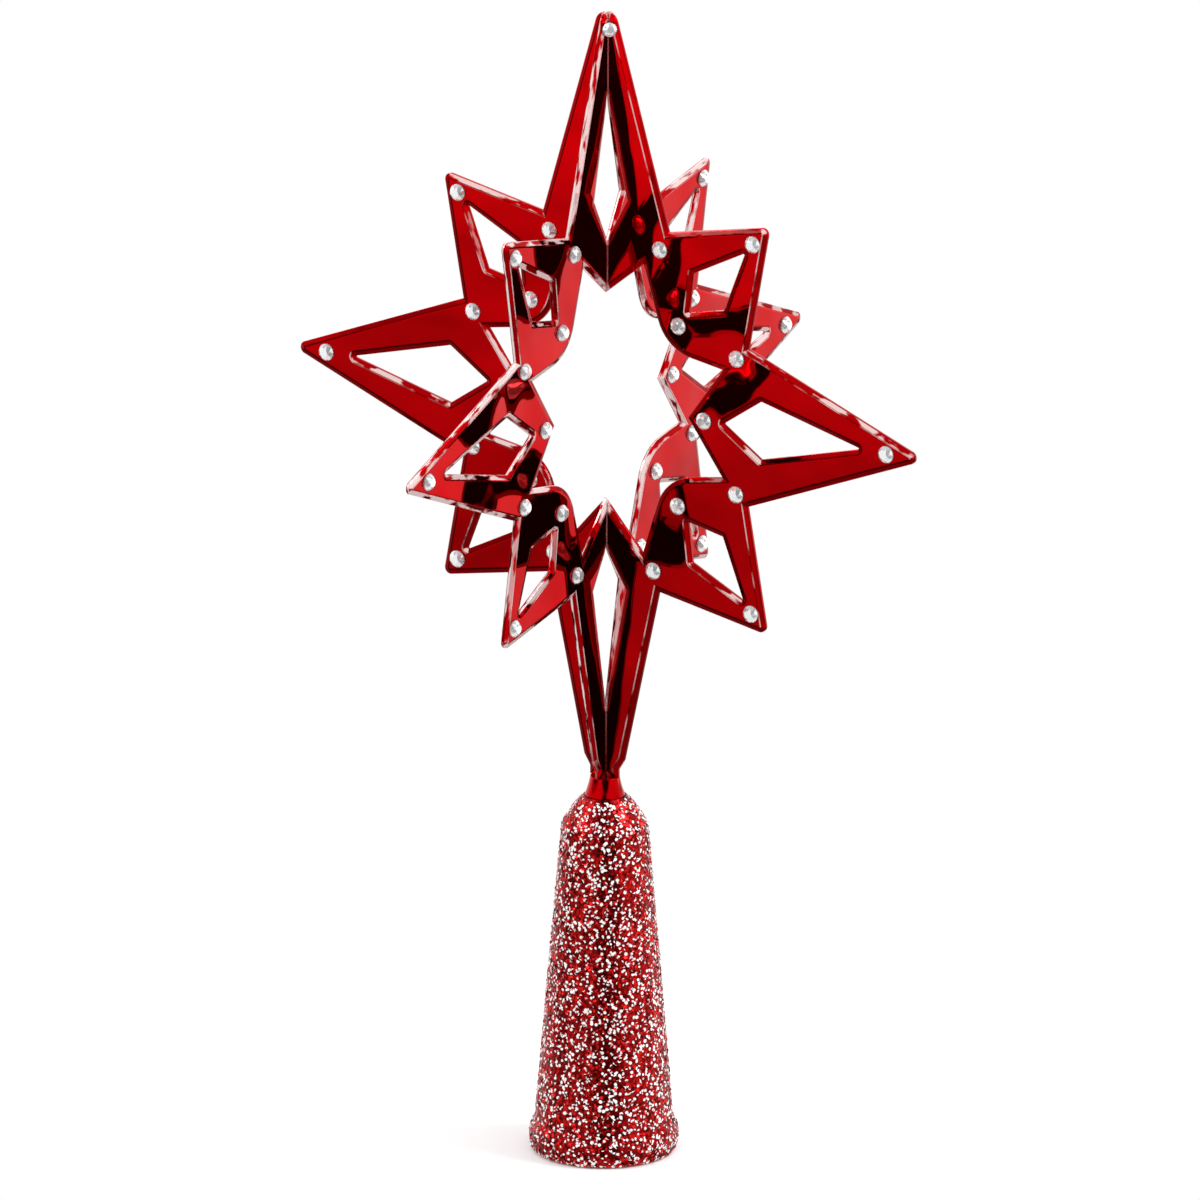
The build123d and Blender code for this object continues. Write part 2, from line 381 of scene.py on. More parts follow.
    def painted_reflection_tint(self, tree: Tree, surface: PlateSurface) -> Socket:
        """Tints what the plate mirrors at a flat angle on the front wing, low down, as painted reflection.

        Args:
            tree: the material's node tree.
            surface: sockets of the plate's shape.

        Returns:
            Socket with the tint, white at the rear and high up.
        """
        high = add_node(tree, "ShaderNodeMapRange", {
            "Value": surface.height,
            "From Min": self.reflection_tint_mm[0] * MM,
            "From Max": self.reflection_tint_mm[1] * MM,
        })
        rear = add_node(tree, "ShaderNodeMath", {0: surface.rear, 1: 0.0}, operation="GREATER_THAN")
        tint = add_node(tree, "ShaderNodeMix", {
            "Factor": joined(tree, "MAXIMUM", high.outputs["Result"], rear.outputs[0]),
            "A": linear(self.reflection_tint),
            "B": linear(WHITE),
        }, data_type="RGBA")
        return tint.outputs["Result"]

    def painted_highlights(self, tree: Tree, surface: PlateSurface, facing: Facing) -> Socket:
        """Lays out the painted highlights, glint and seam line, down to the collar.

        Args:
            tree: the material's node tree.
            surface: sockets of the plate's shape.
            facing: axis of the flat faces, which the streaks are narrow along.

        Returns:
            Socket that is one in the streaks, less in the glint and the seam, and zero elsewhere.
        """
        lengths = [self.streak_width_mm if axis == facing.value else self.streak_mm for axis in "XYZ"]
        stretched = add_node(tree, "ShaderNodeVectorMath", {
            0: surface.place,
            1: [1.0 / (length * MM) for length in lengths],
        }, operation="MULTIPLY")
        noise = add_node(tree, "ShaderNodeTexNoise", {
            "Vector": stretched.outputs["Vector"],
            "Scale": 1.0,
            "Detail": self.streak_detail,
        }).outputs["Fac"]
        above = add_node(tree, "ShaderNodeMapRange", {
            "Value": surface.height,
            "From Min": self.plain_mm[0] * MM,
            "From Max": self.plain_mm[1] * MM,
        })
        streaks = self.streaks(tree, surface, noise)
        glint = self.glint(tree, surface, noise)
        shown = joined(tree, "MAXIMUM", streaks, glint, self.seam(tree, surface))
        return joined(tree, "MULTIPLY", shown, above.outputs["Result"])

    def streaks(self, tree: Tree, surface: PlateSurface, noise: Socket) -> Socket:
        """Lays long streaks of painted highlight along the edges that face the given sides.

        Args:
            tree: the material's node tree.
            surface: sockets of the plate's shape.
            noise: socket with the noise that breaks the painted highlights into streaks.

        Returns:
            Socket that is one in the streaks and zero elsewhere.
        """
        # Painted highlight: the noise picks streaks on edges that would mirror bright lamps.
        thin = add_node(tree, "ShaderNodeMapRange", {
            "Value": noise,
            "From Min": self.streak_range[0],
            "From Max": self.streak_range[1],
        })
        rim = add_node(tree, "ShaderNodeMapRange", {
            "Value": surface.flatness,
            "From Min": self.streak_from[0],
            "From Max": self.streak_from[1],
        })
        edges = [self.turned(tree, surface.normal, side, self.highlight_range) for side in self.highlight_sides]
        return joined(tree, "MULTIPLY", thin.outputs["Result"], rim.outputs["Result"],
                      joined(tree, "MAXIMUM", *edges), self.band(tree, surface.depth, self.highlight_band_mm))

    def glint(self, tree: Tree, surface: PlateSurface, noise: Socket) -> Socket:
        """Paints a glint along the line between face and bevel, with gaps.

        Args:
            tree: the material's node tree.
            surface: sockets of the plate's shape.
            noise: socket with the noise that breaks the painted glint into pieces.

        Returns:
            Socket that is glint_share on the glint line and zero elsewhere.
        """
        # Painted highlight: a broken bright line between face and bevel.
        glint_pieces = add_node(tree, "ShaderNodeMapRange", {
            "Value": noise,
            "From Min": self.glint_gaps[0],
            "From Max": self.glint_gaps[1],
            "To Max": self.glint_share,
        })
        bright = self.turned(tree, surface.normal, self.glint_side, self.glint_range)
        return joined(tree, "MULTIPLY", glint_pieces.outputs["Result"], bright,
                      self.band(tree, surface.depth, self.glint_mm))

    def seam(self, tree: Tree, surface: PlateSurface) -> Socket:
        """Draws a painted highlight along the crease where the plates cross.

        Args:
            tree: the material's node tree.
            surface: sockets of the plate's shape.

        Returns:
            Socket that is seam_share on the line and zero elsewhere.
        """
        # Painted highlight: a pale line on the crease where the plates cross.
        flat = add_node(tree, "ShaderNodeVectorMath", {
            0: surface.place,
            1: (1.0, 1.0, 0.0),
        }, operation="MULTIPLY")
        reach = add_node(tree, "ShaderNodeVectorMath", {0: flat.outputs["Vector"]}, operation="LENGTH")
        line = add_node(tree, "ShaderNodeMapRange", {
            "Value": reach.outputs["Value"],
            "From Min": self.seam_mm[0] * MM,
            "From Max": self.seam_mm[1] * MM,
            "To Max": self.seam_share,
        })
        return line.outputs["Result"]

    @staticmethod
    def turned(tree: Tree, normal: Socket, side: Direction, limits: Span) -> Socket:
        """Picks out the surfaces that face one way.

        Args:
            tree: the material's node tree.
            normal: socket with the direction that the surface faces.
            side: the direction looked for.
            limits: share of it where the surface starts to count and where it counts fully.

        Returns:
            Socket that is one on the surfaces picked and zero elsewhere.
        """
        share = add_node(tree, "ShaderNodeVectorMath", {0: normal, 1: side}, operation="DOT_PRODUCT")
        picked = add_node(tree, "ShaderNodeMapRange", {
            "Value": share.outputs["Value"],
            "From Min": limits[0],
            "From Max": limits[1],
        })
        return picked.outputs["Result"]

    @staticmethod
    def band(tree: Tree, depth: Socket, limits: Span) -> Socket:
        """Picks out a band of the plate's thickness.

        Args:
            tree: the material's node tree.
            depth: socket with the distance from the plate's middle plane.
            limits: the band's two borders in millimetres. A band clear of the middle plane lies on both
                sides of it.

        Returns:
            Socket that is one in the band and zero elsewhere.
        """
        if limits[0] > 0.0:
            depth = add_node(tree, "ShaderNodeMath", {0: depth}, operation="ABSOLUTE").outputs[0]
        picked = add_node(tree, "ShaderNodeMath", {
            0: depth,
            1: (limits[0] + limits[1]) / 2.0 * MM,
            2: (limits[1] - limits[0]) / 2.0 * MM,
        }, operation="COMPARE")
        return picked.outputs[0]


@dataclass(frozen=True)
class FoilBackedStone:
    """Cut clear acrylic on mirror foil: each facet throws back one patch of the room, white or grey.

    The foil is a little crinkled, so the mirror is sharpest in the middle of each crinkle.
    """

    foil: str = "#F6F7F8"
    metallic: float = 0.66
    roughness: Span = (0.05, 0.15)
    crinkle_mm: float = 1.6

    def material(self, name: str) -> bpy.types.Material:
        """Builds the finish.

        Args:
            name: the material's name.

        Returns:
            The material.
        """
        material, tree, output = new_material(name)
        place = add_node(tree, "ShaderNodeTexCoord")
        cells = add_node(tree, "ShaderNodeTexVoronoi", {
            "Vector": place.outputs["Object"],
            "Scale": 1.0 / (self.crinkle_mm * MM),
        })
        rough = add_node(tree, "ShaderNodeMapRange", {
            "Value": cells.outputs["Distance"],
            "To Min": self.roughness[0],
            "To Max": self.roughness[1],
        })
        shader = add_node(tree, "ShaderNodeBsdfPrincipled", {
            "Base Color": linear(self.foil),
            "Metallic": self.metallic,
            "Roughness": rough.outputs["Result"],
        })
        tree.links.new(shader.outputs["BSDF"], output.inputs["Surface"])
        return material


@dataclass(frozen=True)
class Glitter:
    """Cut metallised film: thin flakes, each turned its own way and each a little darker or lighter.

    The red film is a tinted mirror. The silver film scatters light, so it looks white from all sides.
    """

    deep: str
    bright: str
    metallic: float
    roughness: float

    def material(self, name: str) -> bpy.types.Material:
        """Builds the flakes' finish.

        Args:
            name: the material's name.

        Returns:
            The material.
        """
        material, tree, output = new_material(name)
        shape = add_node(tree, "ShaderNodeNewGeometry")
        tint = add_node(tree, "ShaderNodeMix", {
            "Factor": shape.outputs["Random Per Island"],
            "A": linear(self.deep),
            "B": linear(self.bright),
        }, data_type="RGBA")
        shader = add_node(tree, "ShaderNodeBsdfPrincipled", {
            "Base Color": tint.outputs["Result"],
            "Metallic": self.metallic,
            "Roughness": self.roughness,
        })
        tree.links.new(shader.outputs["BSDF"], output.inputs["Surface"])
        return material


@dataclass(frozen=True)
class GlitterBed:
    """Red flakes bonded in glue, seen in the gaps between the top flakes: glossy and speckled, and darker as
    painted shade in the gaps.
    """

    # Painted shade: the bed's red is dark so that the gaps between flakes look shaded.
    deep: str = "#2C0102"
    bright: str = "#B80A0E"
    metallic: float = 0.9
    roughness: float = 0.3
    speck_mm: float = 0.9

    def material(self, name: str) -> bpy.types.Material:
        """Builds the bed's finish.

        Args:
            name: the material's name.

        Returns:
            The material.
        """
        material, tree, output = new_material(name)
        place = add_node(tree, "ShaderNodeTexCoord")
        cells = add_node(tree, "ShaderNodeTexVoronoi", {
            "Vector": place.outputs["Object"],
            "Scale": 1.0 / (self.speck_mm * MM),
        })
        chance = add_node(tree, "ShaderNodeSeparateColor", {"Color": cells.outputs["Color"]})
        tint = add_node(tree, "ShaderNodeMix", {
            "Factor": chance.outputs["Red"],
            "A": linear(self.deep),
            "B": linear(self.bright),
        }, data_type="RGBA")
        shader = add_node(tree, "ShaderNodeBsdfPrincipled", {
            "Base Color": tint.outputs["Result"],
            "Metallic": self.metallic,
            "Roughness": self.roughness,
        })
        tree.links.new(shader.outputs["BSDF"], output.inputs["Surface"])
        return material


@dataclass(frozen=True)
class MouldedPlastic:
    """Plain red moulded plastic inside the cone: dull, with a faint mould grain.

    The grain is drawn coarser than the real one, so that it shows.
    """

    colour: str = "#A3121A"
    ior: float = 1.53
    roughness: Span = (0.38, 0.55)
    grain_mm: float = 0.6
    grain_depth_mm: float = 0.02
    grain_detail: float = 3.0

    def material(self, name: str) -> bpy.types.Material:
        """Builds the finish.

        Args:
            name: the material's name.

        Returns:
            The material.
        """
        material, tree, output = new_material(name)
        place = add_node(tree, "ShaderNodeTexCoord")
        grain = add_node(tree, "ShaderNodeTexNoise", {
            "Vector": place.outputs["Object"],
            "Scale": 1.0 / (self.grain_mm * MM),
            "Detail": self.grain_detail,
        })
        rough = add_node(tree, "ShaderNodeMapRange", {
            "Value": grain.outputs["Fac"],
            "To Min": self.roughness[0],
            "To Max": self.roughness[1],
        })
        relief = add_node(tree, "ShaderNodeBump", {
            "Height": grain.outputs["Fac"],
            "Distance": self.grain_depth_mm * MM,
        })
        shader = add_node(tree, "ShaderNodeBsdfPrincipled", {
            "Base Color": linear(self.colour),
            "Roughness": rough.outputs["Result"],
            "IOR": self.ior,
            "Normal": relief.outputs["Normal"],
        })
        tree.links.new(shader.outputs["BSDF"], output.inputs["Surface"])
        return material


@dataclass(frozen=True)
class StudioPaper:
    """Matt white paper: it takes the object's shadow near the foot and fades to plain white further out.

    The fade lies over shadow_reach, in metres from the axis.
    """

    colour: str = "#FCFCFC"
    shadow_reach: Span = (0.05, 0.16)

    def material(self, name: str) -> bpy.types.Material:
        """Builds the finish.

        Args:
            name: the material's name.

        Returns:
            The material.
        """
        material, tree, output = new_material(name)
        place = add_node(tree, "ShaderNodeTexCoord")
        reach = add_node(tree, "ShaderNodeVectorMath", {0: place.outputs["Object"]}, operation="LENGTH")
        fade = add_node(tree, "ShaderNodeMapRange", {
            "Value": reach.outputs["Value"],
            "From Min": self.shadow_reach[0],
            "From Max": self.shadow_reach[1],
        }, interpolation_type="SMOOTHSTEP")
        paper = add_node(tree, "ShaderNodeBsdfDiffuse", {"Color": linear(self.colour)})
        glow = add_node(tree, "ShaderNodeEmission", {"Color": linear(WHITE), "Strength": 1.0})
        blend = add_node(tree, "ShaderNodeMixShader", {
            0: fade.outputs["Result"],
            1: paper.outputs["BSDF"],
            2: glow.outputs["Emission"],
        })
        tree.links.new(blend.outputs["Shader"], output.inputs["Surface"])
        return material


@dataclass
class StarPlates:
    """The two half-lapped star plates and the bell collar below them.

    Plate A has painted highlights on edges that face up and right. Plate B has them on edges that face up or
    down and a little to the front, and a painted reflection tint on the front wing.
    """

    plate_a_finish: MetallisedPlastic = MetallisedPlastic()
    plate_b_finish: MetallisedPlastic = MetallisedPlastic(
        colour="#B60107",
        tip_colour="#C00107",
        highlight_colour="#E9DAD8",
        streak_range=(0.45, 0.53),
        highlight_sides=((0.0, -0.45, 0.89), (0.0, -0.3, -0.95)),
        highlight_range=(0.17, 0.24),
        highlight_band_mm=(-0.25, 1.05),
        glint_side=(0.0, -0.96, 0.29),
        reflection_tint="#FFDFDF",
    )
    collar_finish: MetallisedPlastic = MetallisedPlastic(colour="#BC0107")

    def dress(self, nodes: Nodes) -> None:
        """Gives the CAD plates and collar their red mirror finish.

        Args:
            nodes: the frame's objects by node name.
        """
        plate_a = self.plate_a_finish.material("red_metallised_plate_a", Facing.ALONG_Y)
        plate_b = self.plate_b_finish.material("red_metallised_plate_b", Facing.ALONG_X)
        cover(nodes["star_plate_a"], plate_a)
        cover(nodes["star_plate_b"], plate_b)
        cover(nodes["bell_collar"], self.collar_finish.material("red_metallised_collar", None))


@dataclass(frozen=True)
class StoneSeat:
    """How one stone sits: the middle of its base, its axis out of the plate, its radius and its height.

    side and up are two directions across the axis.
    """

    base: np.ndarray
    axis: np.ndarray
    side: np.ndarray
    up: np.ndarray
    radius: float
    height: float

    def ring(self, count: int, offset: float, share: float, level: float) -> list[np.ndarray]:
        """Spaces corners evenly round the axis.

        Args:
            count: number of corners.
            offset: turn of the first corner, as a share of the step between two.
            share: distance from the axis, as a share of the stone's radius.
            level: height above the base, in metres.

        Returns:
            The corners' places.
        """
        corners = []
        for step in range(count):
            angle = FULL_TURN * (step + offset) / count
            spoke = self.side * math.cos(angle) + self.up * math.sin(angle)
            corners.append(self.base + spoke * self.radius * share + self.axis * level)
        return corners


@dataclass
class Stones:
    """Faceted stones, each cut anew where the frame has a plain one.

    Corners within same_place_mm are one corner. A plain stone's corners beyond rim_share of its radius are
    its rim, and the others are its top.
    """

    finish: FoilBackedStone = FoilBackedStone()
    facets: int = 8
    table_share: float = 0.50
    star_share: float = 0.76
    star_height_share: float = 0.66
    girdle_mm: float = 0.4
    same_place_mm: float = 0.001
    corner_decimals: int = 8
    rim_share: float = 0.75

    @staticmethod
    def head_of(group: list[int], index: int) -> int:
        """Follows a corner to the one that stands for its solid.

        Args:
            group: for each corner, another corner of its solid, or itself if it stands for the solid.
            index: number of the corner.

        Returns:
            Number of the corner that stands for the solid.
        """
        while group[index] != index:
            index = group[index]
        return index

    def islands(self, mesh: bpy.types.Mesh) -> list[np.ndarray]:
        """Splits a mesh into the corner places of its separate solids.

        Args:
            mesh: the mesh of one stone group.

        Returns:
            One array of places for each solid.
        """
        places = np.array([v.co for v in mesh.vertices])
        group: list[int] = []
        known: dict[tuple[int, ...], int] = {}
        for index, place in enumerate(np.round(places / (self.same_place_mm * MM)).astype(int)):
            group.append(known.setdefault(tuple(place), index))
        for edge in mesh.edges:
            first = self.head_of(group, edge.vertices[0])
            second = self.head_of(group, edge.vertices[1])
            group[second] = first
        solids: dict[int, list[int]] = {}
        for index in range(len(places)):
            solids.setdefault(self.head_of(group, index), []).append(index)
        return [places[corners] for corners in solids.values()]

    def seat(self, places: np.ndarray) -> StoneSeat:
        """Finds how a plain stone sits.

        Args:
            places: the plain stone's corner places.

        Returns:
            The stone's seat.
        """
        places = np.unique(np.round(places, self.corner_decimals), axis=0)
        middle = places.mean(axis=0)
        axis = np.linalg.svd(places - middle)[2][2]
        height = (places - middle) @ axis
        across = np.linalg.norm(places - middle - np.outer(height, axis), axis=1)
        top = across < self.rim_share * across.max()
        if height[top].mean() < height[~top].mean():
            axis = -axis
            height = -height
        side = np.cross(axis, (0.0, 0.0, 1.0))
        side /= np.linalg.norm(side)
        base = middle + axis * height.min()
        return StoneSeat(base, axis, side, np.cross(side, axis), across.max(), height.max() - height.min())

    def cut(self, places: np.ndarray) -> tuple[list[np.ndarray], list[list[int]]]:
        """Cuts one stone with a table, star, kite and girdle facets.

        Args:
            places: corner places of the plain stone it stands for.

        Returns:
            The cut stone's corner places and faces.
        """
        seat = self.seat(places)
        sides = 2 * self.facets
        girdle = self.girdle_mm * MM
        star_level = girdle + (seat.height - girdle) * self.star_height_share
        points = seat.ring(sides, 0.0, 1.0, 0.0)
        points += seat.ring(sides, 0.0, 1.0, girdle)
        points += seat.ring(self.facets, 0.5, self.star_share, star_level)
        points += seat.ring(self.facets, 0.0, self.table_share, seat.height)
        numbers = list(range(len(points)))
        foot = numbers[:sides]
        belt = numbers[sides:2 * sides]
        star = numbers[2 * sides:-self.facets]
        table = numbers[-self.facets:]
        faces = [foot[::-1], table]
        for step in range(sides):
            after = (step + 1) % sides
            faces.append([foot[step], foot[after], belt[after], belt[step]])
        for step in range(self.facets):
            corner = belt[2 * step]
            between = belt[2 * step + 1]
            after = belt[(2 * step + 2) % sides]
            faces.append([table[step], star[step], table[(step + 1) % self.facets]])
            faces.append([corner, star[step], table[step], star[step - 1]])
            faces.append([corner, between, star[step]])
            faces.append([between, after, star[step]])
        return points, faces

    def build(self, nodes: Nodes) -> None:
        """Cuts every group's stones and puts them in the groups' places.

        Args:
            nodes: the frame's objects by node name.
        """
        material = self.finish.material("foil_backed_acrylic_stone")
        for name in sorted(n for n in nodes if n.startswith("stones_")):
            points: list[np.ndarray] = []
            faces: list[list[int]] = []
            for places in self.islands(nodes[name].data):
                new_points, new_faces = self.cut(places)
                faces += [[corner + len(points) for corner in face] for face in new_faces]
                points += new_points
            stones = mesh_object("faceted_" + name, points, faces)
            cover(stones, material)
            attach(stones, "root")
            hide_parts(name)


@dataclass
class GlitterCone:
    """The cone base, its glitter bed and the red and silver flakes laid loosely on it.

    A face of the coat is outside where it faces outwards by outward_share or upwards by upward_share.
    tilt is how far a flake leans, as a share of the coat's normal, and turn_jitter is in radians.
    """

    flakes: int = 18000
    silver_share: float = 0.375
    flake_mm: Span = (0.65, 1.15)
    flake_sides: int = 6
    flake_thickness_mm: float = 0.05
    tilt: float = 0.23
    turn_jitter: float = 0.03
    lift_mm: Span = (-0.12, 0.12)
    lowest_mm: float = 0.85
    floor_gap_mm: float = 0.05
    crown_gap_mm: float = 0.6
    level_step_mm: float = 0.01
    outward_share: float = 0.05
    upward_share: float = 0.5
    seed: int = 8119
    red_finish: Glitter = Glitter(deep="#A90508", bright="#F82A24", metallic=0.92, roughness=0.2)
    # The silver's deeper tone is tinted pink, as painted reflection of the red round it.
    silver_finish: Glitter = Glitter(deep="#F7ECEC", bright=WHITE, metallic=0.1, roughness=0.3)
    bed_finish: GlitterBed = GlitterBed()
    inside_finish: MouldedPlastic = MouldedPlastic()

    def profile(self, mesh: bpy.types.Mesh) -> np.ndarray:
        """Reads the coat's outside as heights and radii.

        Args:
            mesh: the coat's mesh.

        Returns:
            Rows of height and radius, from the foot up.
        """
        level_step = self.level_step_mm * MM
        levels: dict[int, float] = {}
        for face in mesh.polygons:
            out = Vector((face.center.x, face.center.y, 0.0)).normalized()
            if face.normal.dot(out) < self.outward_share and face.normal.z < self.upward_share:
                continue
            for corner in face.vertices:
                place = mesh.vertices[corner].co
                key = round(place.z / level_step)
                levels[key] = max(levels.get(key, 0.0), math.hypot(place.x, place.y))
        return np.array([(key * level_step, levels[key]) for key in sorted(levels)])

    def spots(self, chance: np.random.Generator,
              line: np.ndarray) -> tuple[np.ndarray, np.ndarray, np.ndarray]:
        """Spreads the flakes evenly over the coat.

        Args:
            chance: source of the random numbers.
            line: rows of the coat's height and radius, from the foot up.

        Returns:
            The flakes' middles, the way the coat faces there, and which flakes lie clear of the crown.
        """
        steps = np.diff(line, axis=0)
        lengths = np.hypot(steps[:, 0], steps[:, 1])
        areas = lengths * (line[:-1, 1] + line[1:, 1])
        total = np.concatenate([[0.0], np.cumsum(areas)]) / areas.sum()
        share = (np.arange(self.flakes) + chance.uniform(0.0, 1.0, self.flakes)) / self.flakes
        part = np.clip(np.searchsorted(total, share) - 1, 0, len(areas) - 1)
        along = (share - total[part]) / (total[part + 1] - total[part])
        height = np.maximum(line[part, 0] + along * steps[part, 0], self.lowest_mm * MM)
        radius = np.interp(height, line[:, 0], line[:, 1])
        turn = np.arange(self.flakes) * math.pi * GOLDEN_SHARE
        turn += chance.normal(0.0, self.turn_jitter, self.flakes)
        slope = np.stack([-steps[part, 1], steps[part, 0]], axis=1) / lengths[part, None]
        normal = np.stack([slope[:, 1] * np.cos(turn), slope[:, 1] * np.sin(turn), slope[:, 0]], axis=1)
        centre = np.stack([radius * np.cos(turn), radius * np.sin(turn), height], axis=1)
        centre += normal * chance.uniform(*self.lift_mm, self.flakes)[:, None] * MM
        return centre, normal, height < line[-1, 0] - self.crown_gap_mm * MM

    def plates(self, chance: np.random.Generator, centre: np.ndarray, normal: np.ndarray) -> np.ndarray:
        """Makes each flake a thin plate with its own size and tilt.

        Args:
            chance: source of the random numbers.
            centre: the flakes' middles.
            normal: the way the coat faces there.

        Returns:
            Two rings of corner places for each flake, the lower ring first.
        """
        face = normal + chance.normal(0.0, self.tilt, normal.shape)
        face /= np.linalg.norm(face, axis=1)[:, None]
        side = np.cross(face, chance.normal(0.0, 1.0, normal.shape))
        side /= np.linalg.norm(side, axis=1)[:, None]
        other = np.cross(face, side)
        size = chance.uniform(*self.flake_mm, self.flakes) * MM / 2.0
        angle = np.arange(self.flake_sides) * FULL_TURN / self.flake_sides
        ring = side[:, None] * np.cos(angle)[None, :, None] + other[:, None] * np.sin(angle)[None, :, None]
        ring = centre[:, None] + ring * size[:, None, None]
        half = face[:, None] * self.flake_thickness_mm * MM / 2.0
        flakes = np.concatenate([ring - half, ring + half], axis=1)
        flakes[:, :, 2] = np.maximum(flakes[:, :, 2], self.floor_gap_mm * MM)
        return flakes

    def flake_mesh(self, name: str, flakes: np.ndarray) -> bpy.types.Object:
        """Closes each flake's two rings of corners into a thin plate.

        Args:
            name: the object's name.
            flakes: two rings of corner places for each flake, the lower ring first.

        Returns:
            The flakes as one object.
        """
        sides = self.flake_sides
        faces: list[tuple[int, ...]] = []
        for first in range(0, 2 * sides * len(flakes), 2 * sides):
            lower = range(first, first + sides)
            upper = range(first + sides, first + 2 * sides)
            faces += [tuple(reversed(lower)), tuple(upper)]
            for step in range(sides):
                after = (step + 1) % sides
                faces.append((lower[step], lower[after], upper[after], upper[step]))
        return mesh_object(name, flakes.reshape(-1, 3), faces)

    def lay_flakes(self, mesh: bpy.types.Mesh) -> tuple[bpy.types.Object, bpy.types.Object]:
        """Lays thin flakes evenly over the coat.

        Args:
            mesh: the coat's mesh.

        Returns:
            The red flakes and the silver flakes, each as one object.
        """
        chance = np.random.default_rng(self.seed)
        centre, normal, clear = self.spots(chance, self.profile(mesh))
        flakes = self.plates(chance, centre, normal)
        silver = chance.uniform(0.0, 1.0, self.flakes) < self.silver_share
        red_object = self.flake_mesh("red_glitter_flakes", flakes[clear & ~silver])
        return red_object, self.flake_mesh("silver_glitter_flakes", flakes[clear & silver])

    def build(self, nodes: Nodes) -> None:
        """Dresses the cone and its coat and lays the flakes.

        Args:
            nodes: the frame's objects by node name.
        """
        cover(nodes["cone_base"], self.inside_finish.material("moulded_plastic_cone"))
        cover(nodes["glitter_coat"], self.bed_finish.material("bonded_glitter_bed"))
        red, silver = self.lay_flakes(nodes["glitter_coat"].data)
        cover(red, self.red_finish.material("cut_film_glitter_red"))
        cover(silver, self.silver_finish.material("cut_film_glitter_silver"))
        for flakes in (red, silver):
            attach(flakes, "root")


@dataclass(frozen=True)
class RoomPatch:
    """A round part of the room: the direction of its middle, and stops of angle from there and brightness.

    Directions and angles are in degrees. Inside the first stop and outside the last, it is evenly bright.
    """

    azimuth: float
    elevation: float
    stops: tuple[Span, ...]

    def level(self, tree: Tree, place: Socket) -> Socket:
        """Shades the room by the angle from the patch's middle.

        Args:
            tree: the world's node tree.
            place: socket that gives the direction looked in.

        Returns:
            Socket with the brightness.
        """
        middle = towards(self.azimuth, self.elevation)
        facing = add_node(tree, "ShaderNodeVectorMath", {0: place, 1: middle}, operation="DOT_PRODUCT")
        angle = add_node(tree, "ShaderNodeMath", {0: facing.outputs["Value"]}, operation="ARCCOSINE")
        share = add_node(tree, "ShaderNodeMath", {0: angle.outputs[0], 1: math.pi}, operation="DIVIDE")
        ramp = add_node(tree, "ShaderNodeValToRGB", {"Fac": share.outputs[0]})
        points = ramp.color_ramp.elements
        while len(points) < len(self.stops):
            points.new(1.0)
        for point, (degrees, level) in zip(points, self.stops):
            point.position = degrees / HALF_TURN_DEGREES
            point.color = (level, level, level, 1.0)
        return ramp.outputs["Color"]


@dataclass(frozen=True)
class SoftLamp:
    """A soft square lamp that hangs near the object and looks at the star.

    Angles are in degrees and lengths in metres.
    """

    name: str
    azimuth: float
    watts: float
    elevation: float = 45.0
    distance: float = 1.5
    size: float = 0.5
    aim_height: float = 0.2

    def build(self) -> bpy.types.Object:
        """Hangs the lamp.

        Returns:
            The lamp.
        """
        light = bpy.data.lights.new(self.name, "AREA")
        light.size = self.size
        light.energy = self.watts
        lamp = bpy.data.objects.new(self.name, light)
        bpy.context.scene.collection.objects.link(lamp)
        lamp.location = towards(self.azimuth, self.elevation) * self.distance
        aim = Vector((0.0, 0.0, self.aim_height)) - lamp.location
        lamp.rotation_euler = aim.to_track_quat("-Z", "Y").to_euler()
        lamp.visible_camera = False
        return lamp


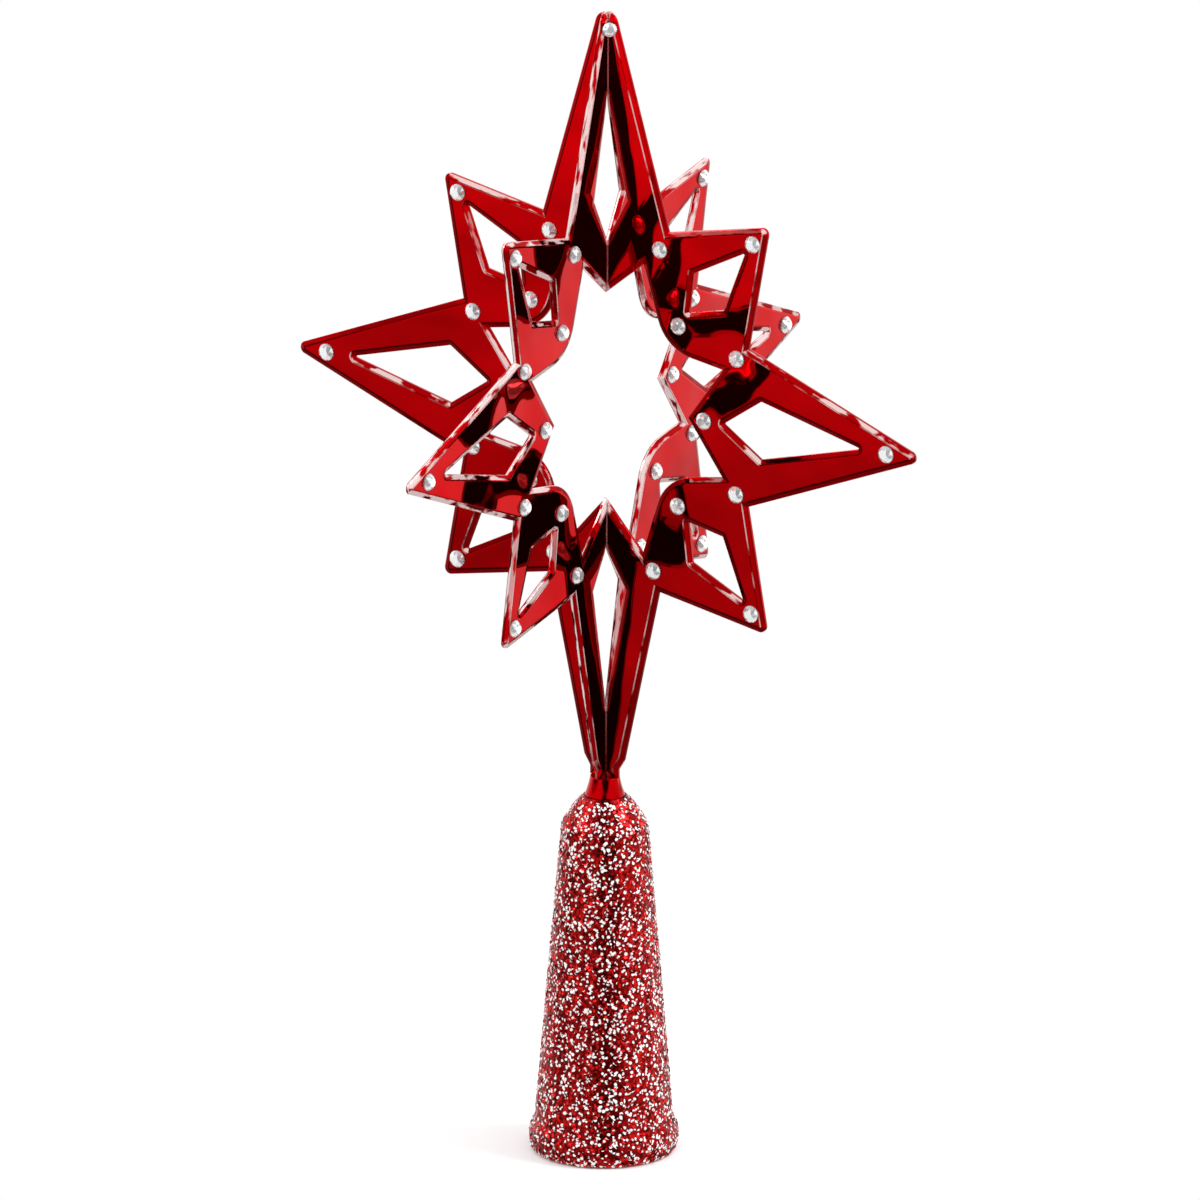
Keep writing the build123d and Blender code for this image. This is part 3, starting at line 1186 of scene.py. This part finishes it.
@dataclass
class Studio:
    """White floor, a room of white cards with dark gaps, soft lamps and the photo's camera.

    Only mirrors see the cards and gaps, and the rest is lit by an even white room. left_card is what plate
    A's faces show the camera, and right_card what plate B's show. Each has a darker gap round it. Three
    more gaps are at the front, high at the front and high on the right. floor_to_ceiling shades it all by
    height. Angles are in degrees and lengths in metres, apart from the camera's lens and sensor.
    """

    azimuth: float = 32.5
    elevation: float = 17.0
    roll: float = 0.16
    distance: float = 6.0
    lens_mm: float = 622.8
    sensor_mm: float = 36.0
    clip_end: float = 50.0
    aim_height: float = 0.1665
    aim_right: float = -0.00156
    floor_radius: float = 0.45
    floor_sides: int = 96
    paper: StudioPaper = StudioPaper()
    lamps: tuple[SoftLamp, ...] = (
        SoftLamp("left_soft_lamp", azimuth=-50.0, watts=4.0),
        SoftLamp("right_soft_lamp", azimuth=110.0, watts=10.0),
    )
    left_card: RoomPatch = RoomPatch(-azimuth, -elevation, ((13.0, 0.95), (17.0, 0.05)))
    left_gap: RoomPatch = RoomPatch(-38.0, -21.0, ((24.0, 0.05), (28.0, 0.45), (33.0, 0.45), (37.0, 0.9)))
    right_card: RoomPatch = RoomPatch(HALF_TURN_DEGREES - azimuth, -elevation, ((14.0, 1.8), (19.0, 0.3)))
    right_gap: RoomPatch = RoomPatch(150.0, -25.0, ((24.0, 0.3), (30.0, 1.1)))
    front_gap: RoomPatch = RoomPatch(39.0, -5.0, ((0.0, 0.03), (24.0, 0.04), (31.0, 1.0)))
    front_high_gap: RoomPatch = RoomPatch(30.0, 38.0, ((15.0, 0.05), (21.0, 1.0)))
    right_high_gap: RoomPatch = RoomPatch(118.0, 34.0, ((15.0, 0.15), (21.0, 1.0)))
    floor_to_ceiling: RoomPatch = RoomPatch(0.0, -90.0, (
        (48.0, 0.8), (58.0, 0.4), (66.0, 0.5), (73.0, 0.82), (80.0, 1.1), (125.0, 1.0), (145.0, 0.3),
    ))
    backdrop: RoomPatch = RoomPatch(HALF_TURN_DEGREES + azimuth, 18.0, ((30.0, 1.4), (48.0, 0.0)))

    def floor(self) -> bpy.types.Object:
        """Makes the round white floor.

        Returns:
            The floor.
        """
        count = self.floor_sides
        points = [(0.0, 0.0, 0.0)]
        for step in range(count):
            angle = FULL_TURN * step / count
            points.append((self.floor_radius * math.cos(angle), self.floor_radius * math.sin(angle), 0.0))
        faces = [(0, 1 + step, 1 + (step + 1) % count) for step in range(count)]
        floor = mesh_object("studio_floor", points, faces)
        cover(floor, self.paper.material("white_paper_floor"))
        floor.visible_glossy = False
        return floor

    def room(self, tree: Tree) -> Socket:
        """Joins the room's cards, gaps and backdrop.

        Args:
            tree: the world's node tree.

        Returns:
            Socket with the brightness in each direction.
        """
        place = add_node(tree, "ShaderNodeTexCoord").outputs["Generated"]
        left = joined(tree, "MAXIMUM", self.left_card.level(tree, place),
                      self.left_gap.level(tree, place))
        right = joined(tree, "MAXIMUM", self.right_card.level(tree, place),
                       self.right_gap.level(tree, place))
        shades = (self.floor_to_ceiling, self.front_gap, self.front_high_gap, self.right_high_gap)
        walls = joined(tree, "MULTIPLY", left, right, *(shade.level(tree, place) for shade in shades))
        return joined(tree, "MAXIMUM", walls, self.backdrop.level(tree, place))

    def world(self) -> None:
        """Lights the room evenly, and shows mirrors its cards, gaps and backdrop."""
        world = bpy.data.worlds.new("white_studio")
        bpy.context.scene.world = world
        world.use_nodes = True
        tree = world.node_tree
        tree.nodes.clear()
        path = add_node(tree, "ShaderNodeLightPath")
        level = add_node(tree, "ShaderNodeMix", {
            "Factor": path.outputs["Is Glossy Ray"],
            "A": 1.0,
            "B": self.room(tree),
        }, data_type="FLOAT")
        sky = add_node(tree, "ShaderNodeBackground", {
            "Color": linear(WHITE),
            "Strength": level.outputs["Result"],
        })
        add_node(tree, "ShaderNodeOutputWorld", {"Surface": sky.outputs["Background"]})

    def camera(self) -> None:
        """Sets up the camera at the photo's angle."""
        data = bpy.data.cameras.new("photo_camera")
        data.sensor_width = self.sensor_mm
        data.lens = self.lens_mm
        data.clip_end = self.clip_end
        camera = bpy.data.objects.new("photo_camera", data)
        bpy.context.scene.collection.objects.link(camera)
        turn = math.radians(self.azimuth)
        right = Vector((math.cos(turn), math.sin(turn), 0.0))
        aim = Vector((0.0, 0.0, self.aim_height)) + right * self.aim_right
        out = towards(self.azimuth, self.elevation)
        camera.location = aim + out * self.distance
        roll = Quaternion((0.0, 0.0, 1.0), math.radians(self.roll))
        camera.rotation_euler = (out.to_track_quat("Z", "Y") @ roll).to_euler()
        bpy.context.scene.camera = camera

    def build(self) -> None:
        """Builds the whole studio."""
        self.world()
        self.camera()
        lamps = [lamp.build() for lamp in self.lamps]
        self.floor()
        bpy.context.scene.view_settings.view_transform = "Standard"
        LOG.info("built the studio")


def main() -> None:
    """Loads the frame, and dresses and builds every piece."""
    logging.basicConfig(level=logging.INFO, format="%(name)s: %(message)s")
    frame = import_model()
    nodes = frame["nodes"]
    StarPlates().dress(nodes)
    Stones().build(nodes)
    GlitterCone().build(nodes)
    Studio().build()


if __name__ == "__main__":
    main()
